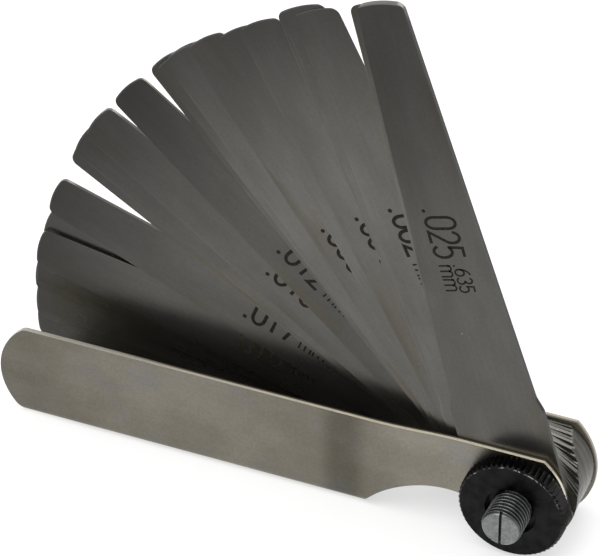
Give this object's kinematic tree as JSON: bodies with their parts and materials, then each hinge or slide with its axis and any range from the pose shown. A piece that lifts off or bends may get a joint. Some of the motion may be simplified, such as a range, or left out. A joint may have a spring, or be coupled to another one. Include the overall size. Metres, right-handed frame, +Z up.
{
  "type": "feeler gauge",
  "caption": "Folding feeler gauge: thin tapered steel blades fan out on a pivot screw from a folded sheet-steel case, held by a black knurled lock nut.",
  "frame": {"origin": "middle of the flat underside of the folded case, which the gauge stands on", "axes": "+X along the case from its tail to the pivot, +Y along the pivot screw from the lock nut to the screw's head, +Z up"},
  "size_m": [0.0827, 0.0183, 0.0795],
  "materials": {
    "case_steel": "satin nickel plate, warm grey, bright sheared edges",
    "blade_steel": "hardened spring steel, dark grey with a soft sheen",
    "nut_black": "black oxide, satin",
    "screw_steel": "bright zinc plate",
    "washer_steel": "plain steel"
  },
  "bodies": {
    "case": {"case": "case_steel", "pivot_screw": "screw_steel"},
    "washer": {"washer": "washer_steel"},
    "lock_nut": {"lock_nut": "nut_black"},
    "blade_0250": {"blade_0250": "blade_steel"},
    "blade_0015": {"blade_0015": "blade_steel"},
    "blade_0020": {"blade_0020": "blade_steel"},
    "blade_0025": {"blade_0025": "blade_steel"},
    "blade_0030": {"blade_0030": "blade_steel"},
    "blade_0040": {"blade_0040": "blade_steel"},
    "blade_0050": {"blade_0050": "blade_steel"},
    "blade_0060": {"blade_0060": "blade_steel"},
    "blade_0070": {"blade_0070": "blade_steel"},
    "blade_0080": {"blade_0080": "blade_steel"},
    "blade_0090": {"blade_0090": "blade_steel"},
    "blade_0100": {"blade_0100": "blade_steel"},
    "blade_0110": {"blade_0110": "blade_steel"},
    "blade_0120": {"blade_0120": "blade_steel"},
    "blade_0130": {"blade_0130": "blade_steel"},
    "blade_0140": {"blade_0140": "blade_steel"},
    "blade_0150": {"blade_0150": "blade_steel"},
    "blade_0160": {"blade_0160": "blade_steel"},
    "blade_0170": {"blade_0170": "blade_steel"},
    "blade_0180": {"blade_0180": "blade_steel"},
    "blade_0190": {"blade_0190": "blade_steel"},
    "blade_0200": {"blade_0200": "blade_steel"},
    "blade_0210": {"blade_0210": "blade_steel"},
    "blade_0220": {"blade_0220": "blade_steel"},
    "blade_0230": {"blade_0230": "blade_steel"},
    "blade_0240": {"blade_0240": "blade_steel"}
  },
  "joints": [
    {"name": "blade_0250_swing", "type": "hinge", "parent": "case", "child": "blade_0250", "pos_m": [0.0467, 0, 0.0076], "axis": [0, 1, 0], "range_deg": [-75.6, 106.4]},
    {"name": "blade_0015_swing", "type": "hinge", "parent": "case", "child": "blade_0015", "pos_m": [0.0467, 0, 0.0076], "axis": [0, 1, 0], "range_deg": [-74.65, 107.35]},
    {"name": "blade_0020_swing", "type": "hinge", "parent": "case", "child": "blade_0020", "pos_m": [0.0467, 0, 0.0076], "axis": [0, 1, 0], "range_deg": [-68.3, 113.7]},
    {"name": "blade_0025_swing", "type": "hinge", "parent": "case", "child": "blade_0025", "pos_m": [0.0467, 0, 0.0076], "axis": [0, 1, 0], "range_deg": [-67.05, 114.95]},
    {"name": "blade_0030_swing", "type": "hinge", "parent": "case", "child": "blade_0030", "pos_m": [0.0467, 0, 0.0076], "axis": [0, 1, 0], "range_deg": [-66.6, 115.4]},
    {"name": "blade_0040_swing", "type": "hinge", "parent": "case", "child": "blade_0040", "pos_m": [0.0467, 0, 0.0076], "axis": [0, 1, 0], "range_deg": [-61.6, 120.4]},
    {"name": "blade_0050_swing", "type": "hinge", "parent": "case", "child": "blade_0050", "pos_m": [0.0467, 0, 0.0076], "axis": [0, 1, 0], "range_deg": [-58.95, 123.05]},
    {"name": "blade_0060_swing", "type": "hinge", "parent": "case", "child": "blade_0060", "pos_m": [0.0467, 0, 0.0076], "axis": [0, 1, 0], "range_deg": [-54.85, 127.15]},
    {"name": "blade_0070_swing", "type": "hinge", "parent": "case", "child": "blade_0070", "pos_m": [0.0467, 0, 0.0076], "axis": [0, 1, 0], "range_deg": [-55.2, 126.8]},
    {"name": "blade_0080_swing", "type": "hinge", "parent": "case", "child": "blade_0080", "pos_m": [0.0467, 0, 0.0076], "axis": [0, 1, 0], "range_deg": [-51.4, 130.6]},
    {"name": "blade_0090_swing", "type": "hinge", "parent": "case", "child": "blade_0090", "pos_m": [0.0467, 0, 0.0076], "axis": [0, 1, 0], "range_deg": [-51.55, 130.45]},
    {"name": "blade_0100_swing", "type": "hinge", "parent": "case", "child": "blade_0100", "pos_m": [0.0467, 0, 0.0076], "axis": [0, 1, 0], "range_deg": [-49.7, 132.3]},
    {"name": "blade_0110_swing", "type": "hinge", "parent": "case", "child": "blade_0110", "pos_m": [0.0467, 0, 0.0076], "axis": [0, 1, 0], "range_deg": [-48.75, 133.25]},
    {"name": "blade_0120_swing", "type": "hinge", "parent": "case", "child": "blade_0120", "pos_m": [0.0467, 0, 0.0076], "axis": [0, 1, 0], "range_deg": [-42.2, 139.8]},
    {"name": "blade_0130_swing", "type": "hinge", "parent": "case", "child": "blade_0130", "pos_m": [0.0467, 0, 0.0076], "axis": [0, 1, 0], "range_deg": [-36, 146]},
    {"name": "blade_0140_swing", "type": "hinge", "parent": "case", "child": "blade_0140", "pos_m": [0.0467, 0, 0.0076], "axis": [0, 1, 0], "range_deg": [-35.8, 146.2]},
    {"name": "blade_0150_swing", "type": "hinge", "parent": "case", "child": "blade_0150", "pos_m": [0.0467, 0, 0.0076], "axis": [0, 1, 0], "range_deg": [-32.75, 149.25]},
    {"name": "blade_0160_swing", "type": "hinge", "parent": "case", "child": "blade_0160", "pos_m": [0.0467, 0, 0.0076], "axis": [0, 1, 0], "range_deg": [-31.2, 150.8]},
    {"name": "blade_0170_swing", "type": "hinge", "parent": "case", "child": "blade_0170", "pos_m": [0.0467, 0, 0.0076], "axis": [0, 1, 0], "range_deg": [-23.1, 158.9]},
    {"name": "blade_0180_swing", "type": "hinge", "parent": "case", "child": "blade_0180", "pos_m": [0.0467, 0, 0.0076], "axis": [0, 1, 0], "range_deg": [-15.2, 166.8]},
    {"name": "blade_0190_swing", "type": "hinge", "parent": "case", "child": "blade_0190", "pos_m": [0.0467, 0, 0.0076], "axis": [0, 1, 0], "range_deg": [-18, 164]},
    {"name": "blade_0200_swing", "type": "hinge", "parent": "case", "child": "blade_0200", "pos_m": [0.0467, 0, 0.0076], "axis": [0, 1, 0], "range_deg": [-12.2, 169.8]},
    {"name": "blade_0210_swing", "type": "hinge", "parent": "case", "child": "blade_0210", "pos_m": [0.0467, 0, 0.0076], "axis": [0, 1, 0], "range_deg": [-10.9, 171.1]},
    {"name": "blade_0220_swing", "type": "hinge", "parent": "case", "child": "blade_0220", "pos_m": [0.0467, 0, 0.0076], "axis": [0, 1, 0], "range_deg": [-7.7, 174.3]},
    {"name": "blade_0230_swing", "type": "hinge", "parent": "case", "child": "blade_0230", "pos_m": [0.0467, 0, 0.0076], "axis": [0, 1, 0], "range_deg": [-6.5, 175.5]},
    {"name": "blade_0240_swing", "type": "hinge", "parent": "case", "child": "blade_0240", "pos_m": [0.0467, 0, 0.0076], "axis": [0, 1, 0], "range_deg": [-3.7, 178.3]},
    {"name": "washer_slide", "type": "slide", "parent": "case", "child": "washer", "axis": [0, -1, 0], "range_m": [0, 0.00127]},
    {"name": "nut_turn", "type": "hinge", "parent": "washer", "child": "lock_nut", "pos_m": [0.0467, 0, 0.0076], "axis": [0, -1, 0], "range_deg": [0, 720]}
  ],
  "couplings": [
    {"joint": "nut_turn", "follows": "washer_slide", "rad_per_m": 9894.8}
  ]
}
